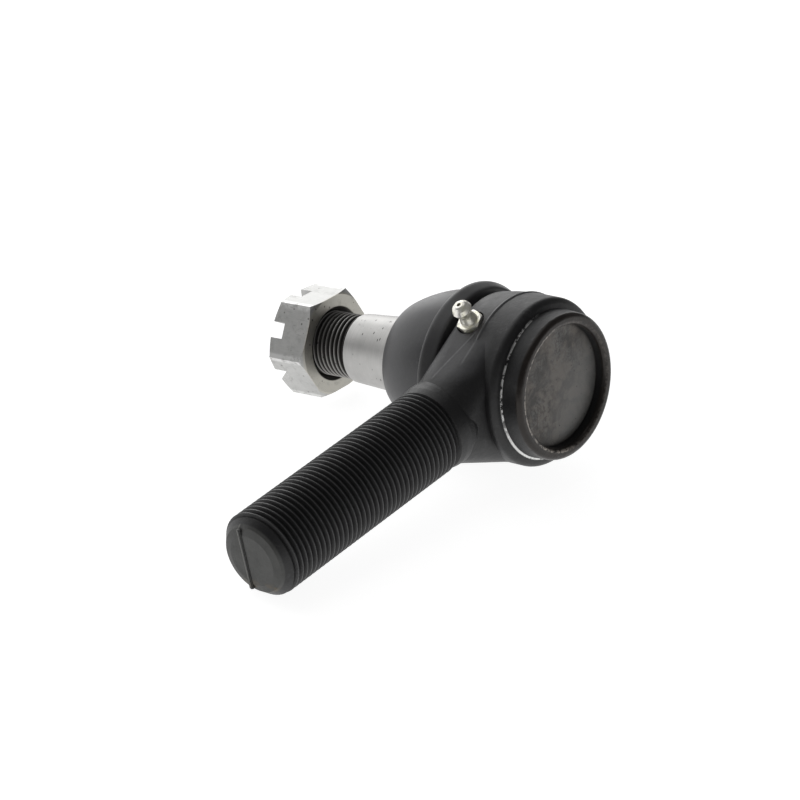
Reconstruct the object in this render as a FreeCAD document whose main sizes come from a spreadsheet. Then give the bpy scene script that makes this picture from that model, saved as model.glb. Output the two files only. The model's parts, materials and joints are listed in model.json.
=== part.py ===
"""Greaseable tie rod end with a threaded shank, as separate named solids.

Millimetres. The origin is the ball centre. The shank runs along -X, the socket's
axis is Y with the cover on -Y and the stud on +Y, and Z is up.
"""
import math
import os

import FreeCAD
import Part
import Sketcher

DOC_NAME = "tie_rod_end"
OUT_DIR = "parts"
SHEET = "Dims"
FULL_TURN = 360.0
NEAR = 0.01
TINY = 1e-6
THREAD_FLANK = 30.0
BOOT_SHRINK = (0.22, 0.62)
BOOT_LEAN = (0.25, 0.65)

# name: (value in mm or degrees, what it drives)
DIMENSIONS = {
    # threaded shank, 1-1/8"-12
    "shank_radius": (14.2875, "crest radius of the shank thread"),
    "shank_root": (13.142, "root radius of the shank thread"),
    "shank_pitch": (2.1167, "12 threads per inch"),
    "shank_tip": (126.0, "distance from the ball centre to the shank's tip"),
    "shank_face": (125.2, "where the tip's forged face meets its chamfer"),
    "shank_shoulder": (121.8, "where the tip's chamfer meets the thread"),
    "tip_radius": (11.3, "radius of the forged end face"),
    "tip_flat_radius": (8.7, "flat middle of that face"),
    "tip_seam_level": (2.9, "where the forging line crosses that face"),
    "relief_run": (0.55, "slope into and out of the run-out groove"),
    "relief_outer": (42.8, "thread side of the run-out groove"),
    "relief_inner": (41.0, "socket side of the run-out groove"),
    "shank_inside": (10.0, "how far the shank core reaches into the socket"),
    # forged socket
    "barrel_radius": (28.1, "largest radius of the socket"),
    "barrel_upper": (27.5, "socket radius level with the ball"),
    "barrel_face_radius": (26.5, "socket radius at the boot side"),
    "face_level": (6.0, "boot side face of the socket"),
    "widest_level": (-6.2, "level of the barrel's largest radius, on the forging line"),
    "shoulder_level": (-17.5, "cover side edge of the socket, before rounding"),
    "shoulder_round": (2.4, "rounding of that edge"),
    "face_round": (1.5, "rounding of the boot side edge"),
    "collar_base": (-18.4, "foot of the rolled collar"),
    "collar_radius": (24.75, "outer radius at the collar's foot"),
    "rim_radius": (24.3, "outer radius at the collar's rim"),
    "rim_level": (-25.5, "rim of the rolled collar"),
    "rim_round": (1.7, "outer rounding of the rim"),
    "lip_round": (1.5, "inner rounding of the rim"),
    "lip_radius": (20.4, "inner radius of the rolled lip"),
    "lip_level": (-21.5, "underside of the rolled lip"),
    "seat_level": (-18.1, "shoulder that the cover plate sits on"),
    "cover_bore": (21.9, "bore that holds the cover plate"),
    "socket_bore": (18.5, "bore that holds the bearings"),
    "bearing_stop": (6.2, "shoulder that the upper bearing sits against"),
    "throat_radius": (15.2, "throat under the boot side face"),
    "mouth_radius": (16.4, "throat at the boss face"),
    "boss_radius": (21.5, "boss that the boot ring turns on"),
    "boss_level": (9.0, "face of that boss"),
    "ring_relief": (7.9, "forging face under the boot ring, beside the shank"),
    "foot_relief_radius": (24.7, "radius of the deeper clearance under the ring's foot"),
    "ring_relief_radius": (30.6, "radius of that clearance"),
    "ring_relief_slope": (6.0, "run of the slope at that clearance's edge"),
    "stub_radius": (14.65, "largest radius of the round stub between thread and neck"),
    "stub_middle": (36.4, "where the stub is widest"),
    "stub_shoulder": (14.5, "radius of the stub either side of that"),
    "stub_half": (2.2, "distance from its middle to those places"),
    "stub_fade": (31.8, "where the stub has fallen to the neck's radius"),
    "neck_start": (36.0, "where the neck leaves the shank"),
    "neck_end": (12.5, "where the neck meets the socket"),
    "neck_radius": (14.0, "half width of the neck at the shank"),
    "neck_half_height": (24.6, "half height of the neck at the socket"),
    "neck_low": (-15.4, "cover side of the neck at the socket"),
    "neck_boot_side": (11.5, "boot side of the neck at the shank"),
    "neck_round": (12.5, "corner rounding of the neck at the shank"),
    "neck_corner": (6.5, "rounding of the neck's cover side corners at the socket"),
    "neck_edge": (2.0, "rounding of its boot side corners there"),
    "ridge_offset": (2.1, "level of the forging line where the neck leaves the shank"),
    "ridge_slope": (16.3, "angle of that line along the neck, in degrees"),
    "ridge_outer_gap": (0.4, "where the forging line starts, from the neck's start"),
    "ridge_inner_gap": (1.5, "where it stops, from the neck's end"),
    "seam_gap": (0.2, "space between the ends of the tip's forging line and its chamfer"),
    "ridge_width": (1.6, "width of the forging line's foot"),
    "ridge_proud": (0.34, "height of the forging line"),
    # ball stud, measured along its own axis from the ball centre
    "stud_tilt": (3.3, "lean of the stud towards the shank, in degrees"),
    "ball_radius": (15.875, "1-1/4 inch ball"),
    "ball_flat": (-12.5, "flat on the ball's cover side"),
    "stud_neck": (9.6, "neck radius under the ball"),
    "neck_top": (16.0, "end of the stud's parallel neck"),
    "flare_top": (27.0, "where the stud reaches its seal diameter"),
    "flare_run": (3.6, "length of the last, gentler part of that flare"),
    "flare_step": (1.6, "radius gained over it"),
    "seal_radius": (13.3, "stud radius under the boot"),
    "taper_start": (37.2, "large end of the taper, 1.5 inches per foot"),
    "taper_end": (59.6, "small end of the taper"),
    "taper_small": (11.9, "radius at the taper's small end"),
    "stud_thread": (11.1125, "7/8 inch crest radius"),
    "stud_root": (10.13, "7/8 inch root radius"),
    "stud_pitch": (1.8143, "14 threads per inch"),
    "stud_end": (82.0, "end of the stud"),
    "end_chamfer": (1.2, "chamfer on the stud's end"),
    "thread_gap": (0.9, "run-out between taper and thread"),
    "thread_lead": (0.5, "lead-in slope of the thread"),
    "cotter_level": (76.0, "cotter hole along the stud"),
    "cotter_radius": (1.984, "5/32 inch cotter hole"),
    # slotted nut
    "nut_level": (72.1, "bearing face of the nut"),
    "nut_height": (15.5, "height of the nut"),
    "nut_half_flats": (16.669, "half of 1-5/16 inch across flats"),
    "nut_turn": (36.8, "turn of the nut's corners about the stud, in degrees"),
    "nut_bore": (11.18, "bore over the stud thread's crests"),
    "nut_sink": (12.9, "countersink radius on both faces"),
    "slot_width": (5.5, "width of the cotter slots"),
    "slot_depth": (5.0, "depth of the cotter slots"),
    "nut_chamfer": (1.35, "height of the corner chamfers"),
    "nut_slope": (1.75, "run of those chamfers for their height"),
    "nut_inset": (0.1, "how far inside the flats the outer chamfer starts"),
    "nut_outset": (0.4, "how far outside the flats the bearing face's chamfer starts"),
    # bearings, spring and cover
    "ball_gap": (0.05, "running clearance round the ball"),
    "upper_low": (2.4, "cover side of the upper bearing"),
    "press_gap": (0.02, "clearance of a seated piece in its bore"),
    "seat_radius": (18.42, "outside of the pressure seat"),
    "seat_top": (-2.0, "ball side edge of the pressure seat"),
    "seat_back": (-15.3, "back of the pressure seat"),
    "seat_hole": (9.0, "hole through the pressure seat, clear of the ball's flat"),
    "spring_outer": (17.6, "outer radius of the disc spring"),
    "spring_inner": (9.5, "inner radius of the disc spring"),
    "spring_thick": (1.25, "thickness of the disc spring"),
    "spring_low": (-18.13, "level where the disc spring rests on the cover"),
    "spring_high": (-15.35, "level where it rests on the pressure seat"),
    "cover_radius": (21.85, "radius of the cover plate"),
    "cover_top": (-18.15, "inner face of the cover plate"),
    "cover_face": (-21.45, "outer face of the cover plate"),
    "cover_chamfer": (0.4, "chamfer of its edge"),
    # dust boot and its rings
    "ring_low": (8.3, "underside of the boot ring's flange"),
    "ring_foot": (6.4, "foot of the boot ring on the socket face"),
    "ring_high": (14.2, "top of the boot ring"),
    "ring_wide_level": (13.1, "level of the boot ring's widest edge"),
    "ring_bore": (21.6, "bore of the boot ring round the boss"),
    "ring_foot_radius": (23.6, "outside of the boot ring's foot"),
    "ring_near": (27.5, "outer radius at the flange's underside"),
    "ring_radius": (28.9, "largest radius of the boot ring"),
    "ring_chamfer": (0.6, "small chamfers of the ring"),
    "ring_edge": (0.35, "rounding of its widest edge"),
    "ring_top_round": (1.2, "rounding of its top edge"),
    "boot_base": (14.25, "base of the boot on its ring"),
    "boot_base_radius": (25.6, "outer radius at the boot's base"),
    "boot_low_rise": (6.0, "height above that base where the boot starts to lean"),
    "boot_high_rise": (14.0, "height above it where the boot draws in"),
    "boot_shoulder": (36.0, "level of the boot's shoulder along the stud"),
    "boot_shoulder_radius": (19.1, "radius of that shoulder"),
    "boot_top": (38.4, "end of the boot along the stud"),
    "boot_top_radius": (16.6, "radius at that end"),
    "boot_wall": (2.3, "wall of the boot"),
    "boot_bore": (13.34, "bore that grips the stud"),
    "sleeve_radius": (15.5, "outside of the boot's sealing sleeve"),
    "sleeve_low": (28.6, "inner end of the sealing sleeve"),
    "sleeve_overlap": (0.6, "how far the sleeve runs into the boot's shoulder"),
    "garter_level": (31.2, "ring that holds the sleeve to the stud"),
    "garter_radius": (16.6, "centre radius of that ring"),
    "garter_wire": (1.0, "section radius of that ring"),
    # grease fitting, measured along its own axis from the flat it stands on
    "fitting_angle": (25.0, "lean of the fitting towards the shank, in degrees"),
    "fitting_seat": (25.6, "distance of its seat from the socket's axis"),
    "fitting_level": (0.3, "level of the fitting along the socket"),
    "fitting_turn": (12.0, "turn of its hexagon, in degrees"),
    "fitting_thread": (3.0, "radius of its 1/4 inch shank"),
    "fitting_depth": (5.9, "length of its shank"),
    "fitting_chamfer": (0.5, "chamfer of its shank's end"),
    "drill_point": (0.4, "depth of the hole past the shank"),
    "fitting_hole": (3.03, "hole for its shank"),
    "gallery_radius": (1.9, "grease hole into the socket"),
    "gallery_depth": (12.0, "depth of that hole from the fitting's seat"),
    "spot_radius": (4.9, "spot face under the hexagon"),
    "hex_half_flats": (3.97, "half of 5/16 inch across flats"),
    "hex_height": (3.1, "height of the fitting's hexagon"),
    "hex_round": (0.5, "height of the chamfer on the hexagon's corners"),
    "hex_run": (0.9, "run of that chamfer"),
    "hex_overlap": (0.1, "small overlap where two shapes of the fitting meet"),
    "head_foot": (2.95, "radius of the neck above the hexagon"),
    "head_neck": (2.25, "radius of the coupler groove"),
    "head_foot_rise": (0.3, "height of that neck before it narrows"),
    "head_neck_level": (5.8, "level of the coupler groove"),
    "head_neck_width": (0.6, "width of that groove"),
    "head_low": (7.3, "underside of the head"),
    "head_wide": (8.6, "level of the head's widest edge"),
    "head_radius": (3.35, "radius of the head"),
    "head_edge": (0.5, "slope under the head"),
    "head_cone": (9.9, "start of the head's cone"),
    "head_cone_radius": (2.85, "radius at the start of the cone"),
    "head_dome": (10.8, "shoulder of the head"),
    "head_dome_radius": (1.95, "radius of that shoulder"),
    "head_top": (11.1, "top of the fitting"),
    "head_flat": (1.35, "radius of the flat round the orifice"),
    "orifice": (0.7, "radius of the orifice"),
    "check_bore": (1.35, "bore for the check ball and its spring"),
    "check_top": (8.2, "where that bore closes to the orifice"),
    "check_cone": (0.5, "cone between that bore and the orifice"),
    "check_lead": (0.15, "where that cone starts, below the top"),
    "check_floor": (-3.0, "step that the check spring rests on"),
    "check_throat": (0.85, "passage below that step"),
    "check_ball": (1.0, "radius of the check ball"),
    "check_level": (7.4, "centre of the check ball"),
    "check_wire": (0.16, "wire radius of the check spring"),
    "check_coil": (0.85, "coil radius of the check spring"),
    "check_pitch": (1.05, "pitch of the check spring"),
    "check_length": (8.9, "length of the check spring"),
    "check_clear": (0.04, "space under the check spring"),
    # how far cuts run on, so that they leave no skin
    "cut_over": (1.0, "past a face"),
    "cut_reach": (8.0, "past the outside of a piece"),
    "drill_over": (2.0, "past each end of a through hole"),
    "thread_clear": (0.15, "past a thread's crest"),
}

doc = FreeCAD.newDocument(DOC_NAME)


# ---------------------------------------------------------------- dimensions

def build_sheet():
    """Write every driving dimension into the spreadsheet under its own name."""
    sheet = doc.addObject("Spreadsheet::Sheet", SHEET)
    for row, (name, (value, note)) in enumerate(DIMENSIONS.items(), start=1):
        sheet.set("A%d" % row, note)
        sheet.set("B%d" % row, "%.6f" % value)
        sheet.setAlias("B%d" % row, name)
    doc.recompute()
    return sheet


def dim(name):
    """The number behind one dimension."""
    return DIMENSIONS[name][0]


def link(text):
    """An expression in dimension names as one that reads the spreadsheet."""
    words = []
    word = ""
    for letter in text + " ":
        if letter.isalnum() or letter == "_":
            word += letter
            continue
        words.append(SHEET + "." + word if word in DIMENSIONS else word)
        words.append(letter)
        word = ""
    return "".join(words).strip()


def number(obj, text):
    """The value of an expression in dimension names."""
    value = obj.evalExpression(link(text))
    return float(getattr(value, "Value", value))


def bind(obj, prop, text):
    """Drive one property by an expression in dimension names."""
    obj.setExpression(prop, link(text))


# ---------------------------------------------------------------- sketches

def new_body(label):
    """An empty body whose label is its file's name."""
    body = doc.addObject("PartDesign::Body", "Body_" + label)
    body.Label = label
    return body


def origin_plane(body, role):
    """One of the body's own base planes."""
    return next(f for f in body.Origin.OriginFeatures if f.Role == role)


def new_sketch(body, name, role="XY_Plane", level=None):
    """A sketch on a base plane, moved along its normal by an expression."""
    sketch = body.newObject("Sketcher::SketchObject", name)
    sketch.AttachmentSupport = [(origin_plane(body, role), "")]
    sketch.MapMode = "FlatFace"
    if level is not None:
        bind(sketch, ".AttachmentOffset.Base.z", level)
    return sketch


def fix_point(sketch, index, end, across, along):
    """Hold one end of an edge at two expressions; None leaves that one free."""
    for kind, text in (("DistanceX", across), ("DistanceY", along)):
        if text is None:
            continue
        value = number(sketch, text)
        row = sketch.addConstraint(Sketcher.Constraint(kind, -1, 1, index, end, value))
        bind(sketch, "Constraints[%d]" % row, text)


def outline(sketch, corners):
    """Close a loop through corners given as pairs of expressions.

    A corner written (across, along, "arc") is reached by an arc about the origin,
    and only its second expression is held, because the arc sets the first.
    """
    spots = [FreeCAD.Vector(number(sketch, c[0]), number(sketch, c[1]), 0) for c in corners]
    count = len(corners)
    edges = []
    for k in range(count):
        start, end = spots[k], spots[(k + 1) % count]
        if len(corners[(k + 1) % count]) == 3:
            edges.append(arc_about_origin(start, end))
        else:
            edges.append((Part.LineSegment(start, end), 1, 2))
    rows = [sketch.addGeometry(edge[0], False) for edge in edges]
    for k in range(count):
        after = (k + 1) % count
        sketch.addConstraint(Sketcher.Constraint(
            "Coincident", rows[k], edges[k][2], rows[after], edges[after][1]))
    for k, corner in enumerate(corners):
        is_arc_end = len(corner) == 3
        fix_point(sketch, rows[k], edges[k][1], None if is_arc_end else corner[0], corner[1])
        if is_arc_end:
            sketch.addConstraint(Sketcher.Constraint("Coincident", rows[k - 1], 3, -1, 1))
    if sketch.solve() != 0:
        raise RuntimeError("sketch %s does not solve" % sketch.Name)


def arc_about_origin(start, end):
    """(arc, start's point number, end's point number) for an arc about the origin."""
    turn = math.atan2(start.x * end.y - start.y * end.x, start.x * end.x + start.y * end.y)
    first, last = (start, end) if turn > 0 else (end, start)
    circle = Part.Circle(FreeCAD.Vector(0, 0, 0), FreeCAD.Vector(0, 0, 1), start.Length)
    arc = Part.ArcOfCircle(circle, math.atan2(first.y, first.x), math.atan2(last.y, last.x))
    return (arc, 1, 2) if turn > 0 else (arc, 2, 1)


def circle_sketch(body, name, radius, role="XY_Plane", level=None):
    """A sketch of one circle round the origin."""
    sketch = new_sketch(body, name, role, level)
    middle = FreeCAD.Vector(0, 0, 0)
    circle = Part.Circle(middle, FreeCAD.Vector(0, 0, 1), number(sketch, radius))
    row = sketch.addGeometry(circle, False)
    sketch.addConstraint(Sketcher.Constraint("Coincident", row, 3, -1, 1))
    held = sketch.addConstraint(Sketcher.Constraint("Radius", row, number(sketch, radius)))
    bind(sketch, "Constraints[%d]" % held, radius)
    return sketch


def rounded_box(sketch, low, high, half_height, low_corner, high_corner):
    """A rectangle from low to high and +-half_height, with round corners at each side."""
    x_low, x_high = number(sketch, low), number(sketch, high)
    half = number(sketch, half_height)
    at_low, at_high = number(sketch, low_corner), number(sketch, high_corner)
    centres = [(x_high - at_high, half - at_high, at_high), (x_low + at_low, half - at_low, at_low),
               (x_low + at_low, at_low - half, at_low), (x_high - at_high, at_high - half, at_high)]
    up = FreeCAD.Vector(0, 0, 1)
    arcs = []
    for quarter, (cx, cy, rad) in enumerate(centres):
        circle = Part.Circle(FreeCAD.Vector(cx, cy, 0), up, rad)
        begin = quarter * math.pi / 2
        arcs.append(Part.ArcOfCircle(circle, begin, begin + math.pi / 2))
    for k, arc in enumerate(arcs):
        sketch.addGeometry(arc, False)
        sketch.addGeometry(Part.LineSegment(arc.EndPoint, arcs[(k + 1) % 4].StartPoint), False)


# ---------------------------------------------------------------- features

def feature(body, kind, name, sketch):
    """A sketch based feature of the given kind."""
    item = body.newObject("PartDesign::" + kind, name)
    item.Profile = sketch
    return item


def spin(body, kind, name, sketch, axis="V_Axis"):
    """A full Revolution or Groove about one of the sketch's axes."""
    item = feature(body, kind, name, sketch)
    item.ReferenceAxis = (sketch, [axis])
    item.Angle = FULL_TURN
    sketch.Visibility = False
    doc.recompute()
    return item


def turned(label, corners):
    """A body turned about its own Y axis from corners given as (radius, level)."""
    body = new_body(label)
    sketch = new_sketch(body, label + "_profile")
    outline(sketch, corners)
    spin(body, "Revolution", label + "_turned", sketch)
    return body


def cut_thread(body, name, axis, crest, root, pitch, begin, length, along_x=False):
    """Cut a right hand 60 degree thread groove into a turned shaft."""
    sketch = new_sketch(body, name + "_groove")
    slope = math.tan(math.radians(THREAD_FLANK))
    half_root = "%s / 8" % pitch
    top = crest + " + thread_clear"
    half_top = "%s / 8 + (%s - %s) * %.6f" % (pitch, top, root, slope)
    corners = [(root, "%s - %s" % (begin, half_root)), (top, "%s - (%s)" % (begin, half_top)),
               (top, "%s + %s" % (begin, half_top)), (root, "%s + %s" % (begin, half_root))]
    if along_x:
        corners = [(level, radius) for radius, level in corners]
    outline(sketch, corners)
    helix = feature(body, "SubtractiveHelix", name, sketch)
    helix.ReferenceAxis = (sketch, [axis])
    helix.Mode = "pitch-height-angle"
    bind(helix, "Pitch", pitch)
    bind(helix, "Height", length)
    helix.Angle = 0
    doc.recompute()
    return helix


def round_over(body, name, base, radius, rings):
    """Round the circular edges about Y given as (radius, level) pairs."""
    names = []
    for index, edge in enumerate(base.Shape.Edges, start=1):
        curve = edge.Curve
        if curve.TypeId != "Part::GeomCircle" or abs(curve.Axis.y) < 1 - TINY:
            continue
        if math.hypot(curve.Center.x, curve.Center.z) > TINY:
            continue
        for ring, level in rings:
            if (abs(curve.Radius - number(body, ring)) < NEAR
                    and abs(curve.Center.y - number(body, level)) < NEAR):
                names.append("Edge%d" % index)
    if not names:
        raise RuntimeError("%s finds no edge" % name)
    item = body.newObject("PartDesign::Fillet", name)
    item.Base = (base, names)
    bind(item, "Radius", radius)
    doc.recompute()
    return item


def drill(body, name, radius, height, placement):
    """Cut a round hole with a placed cylinder."""
    hole = body.newObject("PartDesign::SubtractiveCylinder", name)
    bind(hole, "Radius", radius)
    bind(hole, "Height", height)
    hole.Placement = placement
    doc.recompute()
    return hole


def around_y(placed, angle="stud_tilt"):
    """Lean a body about Z, so that its own Y axis follows the stud."""
    placed.Placement = FreeCAD.Placement()
    bind(placed, ".Placement.Rotation.Angle", angle)
    placed.Placement.Rotation.Axis = FreeCAD.Vector(0, 0, 1)


def fitting_placement(height):
    """A placement whose Z axis is the grease fitting's axis, at a height on it."""
    lean = FreeCAD.Rotation(FreeCAD.Vector(0, 1, 0), -dim("fitting_angle"))
    base = lean.multVec(FreeCAD.Vector(0, 0, dim("fitting_seat") + height))
    return FreeCAD.Placement(base + FreeCAD.Vector(0, dim("fitting_level"), 0), lean)


# ---------------------------------------------------------------- socket

def build_housing():
    """The forged socket with its threaded shank and rolled collar."""
    body = new_body("socket_housing")
    shank = new_sketch(body, "shank_profile")
    outline(shank, [
        ("-shank_inside", "0"), ("-shank_tip", "0"), ("-shank_tip", "tip_flat_radius"),
        ("-shank_face", "tip_radius"), ("-shank_shoulder", "shank_radius"),
        ("-relief_outer", "shank_radius"), ("-relief_outer + relief_run", "shank_root"),
        ("-relief_inner - relief_run", "shank_root"), ("-relief_inner", "neck_radius"),
        ("-stub_middle - stub_half", "stub_shoulder"), ("-stub_middle", "stub_radius"),
        ("-stub_middle + stub_half", "stub_shoulder"), ("-stub_fade", "neck_radius"),
        ("-shank_inside", "neck_radius")])
    spin(body, "Revolution", "shank", shank, "H_Axis")
    cut_thread(body, "shank_thread", "H_Axis", "shank_radius", "shank_root", "shank_pitch",
               "-shank_tip - 1.5 * shank_pitch", "shank_tip - relief_outer + 1.5 * shank_pitch",
               along_x=True)
    barrel = new_sketch(body, "barrel_profile")
    outline(barrel, [
        ("0", "boss_level"), ("boss_radius", "boss_level"), ("boss_radius", "face_level"),
        ("barrel_face_radius", "face_level"), ("barrel_upper", "0"),
        ("barrel_radius", "widest_level + ridge_width / 2"),
        ("barrel_radius + ridge_proud", "widest_level"),
        ("barrel_radius", "widest_level - ridge_width / 2"),
        ("barrel_radius", "shoulder_level"), ("collar_radius", "collar_base"),
        ("rim_radius", "rim_level"), ("0", "rim_level")])
    turned_barrel = spin(body, "Revolution", "barrel", barrel)
    face_edge = round_over(body, "face_edge", turned_barrel, "face_round",
                           [("barrel_face_radius", "face_level")])
    shoulder = round_over(body, "shoulder_edge", face_edge, "shoulder_round",
                          [("barrel_radius", "shoulder_level")])
    round_over(body, "rim_edge", shoulder, "rim_round", [("rim_radius", "rim_level")])
    build_neck(body)
    build_ridges(body)
    clearance = new_sketch(body, "boot_ring_clearance")
    outline(clearance, [
        ("0", "boss_level"), ("boss_radius", "boss_level"), ("boss_radius", "face_level"),
        ("foot_relief_radius", "face_level"), ("foot_relief_radius", "ring_relief"),
        ("ring_relief_radius", "ring_relief"),
        ("ring_relief_radius + ring_relief_slope", "ring_relief + cut_reach"),
        ("0", "ring_relief + cut_reach")])
    spin(body, "Groove", "boot_ring_cut", clearance)
    bore = new_sketch(body, "bore_profile")
    outline(bore, [
        ("0", "boss_level + cut_over"), ("mouth_radius", "boss_level + cut_over"),
        ("mouth_radius", "boss_level"), ("throat_radius", "bearing_stop"),
        ("socket_bore", "bearing_stop"), ("socket_bore", "seat_level"),
        ("cover_bore", "seat_level"), ("cover_bore", "lip_level"),
        ("lip_radius", "lip_level"), ("lip_radius", "rim_level - cut_over"),
        ("0", "rim_level - cut_over")])
    bored = spin(body, "Groove", "bore", bore)
    round_over(body, "lip_edge", bored, "lip_round", [("lip_radius", "rim_level")])
    drill(body, "spot_face", "spot_radius", "cut_reach", fitting_placement(0))
    drill(body, "fitting_hole", "fitting_hole", "fitting_depth + drill_point",
          fitting_placement(-dim("fitting_depth") - dim("drill_point")))
    drill(body, "grease_hole", "gallery_radius", "gallery_depth",
          fitting_placement(-dim("gallery_depth")))
    return body


def build_neck(body):
    """The forged neck that runs from the round shank into the socket."""
    at_shank = new_sketch(body, "neck_at_shank", "YZ_Plane", "-neck_start")
    rounded_box(at_shank, "-neck_radius", "neck_boot_side", "neck_radius",
                "neck_round", "neck_round")
    at_socket = new_sketch(body, "neck_at_socket", "YZ_Plane", "-neck_end")
    rounded_box(at_socket, "neck_low", "face_level", "neck_half_height",
                "neck_corner", "neck_edge")
    neck = feature(body, "AdditiveLoft", "neck", at_shank)
    neck.Sections = [at_socket]
    neck.Ruled = False
    doc.recompute()


def build_ridges(body):
    """The low ridges that the forging dies left along the neck and across the tip."""
    for step, (width, proud) in enumerate((("ridge_width", "ridge_proud / 2"),
                                           ("ridge_width / 2", "ridge_proud"))):
        neck_ridge(body, "neck_ridge_%d" % step, width, proud)
        tip_seam(body, "tip_seam_%d" % step, width, proud)


def neck_ridge(body, name, width, proud):
    """A thin slab, slanted along the neck, that stands a little above and below it."""
    sketch = new_sketch(body, name + "_profile", "XZ_Plane")
    near = number(sketch, "-neck_end - ridge_inner_gap")
    far = number(sketch, "-neck_start + ridge_outer_gap")
    fall = number(sketch, "(neck_half_height - neck_radius) / (neck_start - neck_end)")
    top = number(sketch, "neck_half_height + %s" % proud)
    spots = [(along, top + (along + dim("neck_end")) * fall) for along in (near, far)]
    corners = spots + [(x, -z) for x, z in reversed(spots)]
    points = [FreeCAD.Vector(x, z, 0) for x, z in corners]
    for k in range(4):
        sketch.addGeometry(Part.LineSegment(points[k], points[(k + 1) % 4]), False)
    slope = dim("ridge_slope")
    turn = FreeCAD.Rotation(FreeCAD.Vector(0, 1, 0), -slope)
    level = dim("ridge_offset") - dim("neck_start") * math.tan(math.radians(slope))
    sketch.AttachmentOffset = FreeCAD.Placement(FreeCAD.Vector(0, 0, -level), turn)
    pad = feature(body, "Pad", name, sketch)
    bind(pad, "Length", width)
    pad.Midplane = True
    doc.recompute()


def tip_seam(body, name, width, proud):
    """A straight ridge across the shank's forged end face."""
    sketch = new_sketch(body, name + "_profile", "YZ_Plane", "-shank_face")
    middle, half = number(sketch, "tip_seam_level"), number(sketch, width + " / 2")
    reach = math.sqrt(dim("tip_radius") ** 2 - (middle + half) ** 2) - dim("seam_gap")
    spots = [FreeCAD.Vector(middle + u * half, w * reach, 0)
             for u, w in ((-1, -1), (1, -1), (1, 1), (-1, 1))]
    for k in range(4):
        sketch.addGeometry(Part.LineSegment(spots[k], spots[(k + 1) % 4]), False)
    pad = feature(body, "Pad", name, sketch)
    bind(pad, "Length", "shank_tip - shank_face + " + proud)
    pad.Reversed = True
    doc.recompute()


# ---------------------------------------------------------------- inside the socket

def cup(level):
    """Radius of the ball's seat at a level, as an expression."""
    return "sqrt((ball_radius + ball_gap) ^ 2 - (%s) ^ 2)" % level


def build_upper_bearing():
    """The fixed ring that the ball bears on at the boot side."""
    top = "bearing_stop - press_gap"
    outside = "socket_bore - press_gap"
    turned("upper_bearing", [
        (outside, "upper_low"), (outside, top), (cup(top), top),
        (cup("upper_low"), "upper_low", "arc")])


def build_pressure_seat():
    """The cup that the disc spring pushes against the ball."""
    brink = "-sqrt((ball_radius + ball_gap) ^ 2 - seat_hole ^ 2)"
    turned("pressure_seat", [
        ("seat_radius", "seat_top"), ("seat_radius", "seat_back"), ("seat_hole", "seat_back"),
        ("seat_hole", brink), (cup("seat_top"), "seat_top", "arc")])


def build_spring():
    """The disc spring that loads the pressure seat."""
    turned("disc_spring", [
        ("spring_outer", "spring_low"), ("spring_outer", "spring_low + spring_thick"),
        ("spring_inner", "spring_high"), ("spring_inner", "spring_high - spring_thick")])


def build_cover():
    """The flat plate held in the socket by the rolled lip."""
    turned("cover_plate", [
        ("0", "cover_top"), ("cover_radius", "cover_top"),
        ("cover_radius", "cover_face + cover_chamfer"),
        ("cover_radius - cover_chamfer", "cover_face"),
        ("0", "cover_face")])


# ---------------------------------------------------------------- stud and nut

def build_stud():
    """The ball stud: ball, neck, taper, threaded end and cotter hole."""
    body = new_body("ball_stud")
    sketch = new_sketch(body, "stud_profile")
    ball_end = "sqrt(ball_radius ^ 2 - stud_neck ^ 2)"
    outline(sketch, [
        ("0", "ball_flat"), ("sqrt(ball_radius ^ 2 - ball_flat ^ 2)", "ball_flat"),
        ("stud_neck", ball_end, "arc"), ("stud_neck", "neck_top"),
        ("seal_radius - flare_step", "flare_top - flare_run"), ("seal_radius", "flare_top"),
        ("seal_radius", "taper_start"), ("taper_small", "taper_end"),
        ("stud_root", "taper_end"), ("stud_root", "taper_end + thread_gap"),
        ("stud_thread", "taper_end + thread_gap + thread_lead"),
        ("stud_thread", "stud_end - end_chamfer"), ("stud_thread - end_chamfer", "stud_end"),
        ("0", "stud_end")])
    spin(body, "Revolution", "stud_turned", sketch)
    cut_thread(body, "stud_thread_cut", "V_Axis", "stud_thread", "stud_root", "stud_pitch",
               "taper_end + thread_gap", "stud_end - taper_end")
    across = FreeCAD.Rotation(FreeCAD.Vector(0, 1, 0), 90)
    reach = dim("stud_thread") + dim("drill_over")
    drill(body, "cotter_hole", "cotter_radius", "2 * stud_thread + 2 * drill_over",
          FreeCAD.Placement(FreeCAD.Vector(-reach, dim("cotter_level"), 0), across))
    around_y(body)


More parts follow.
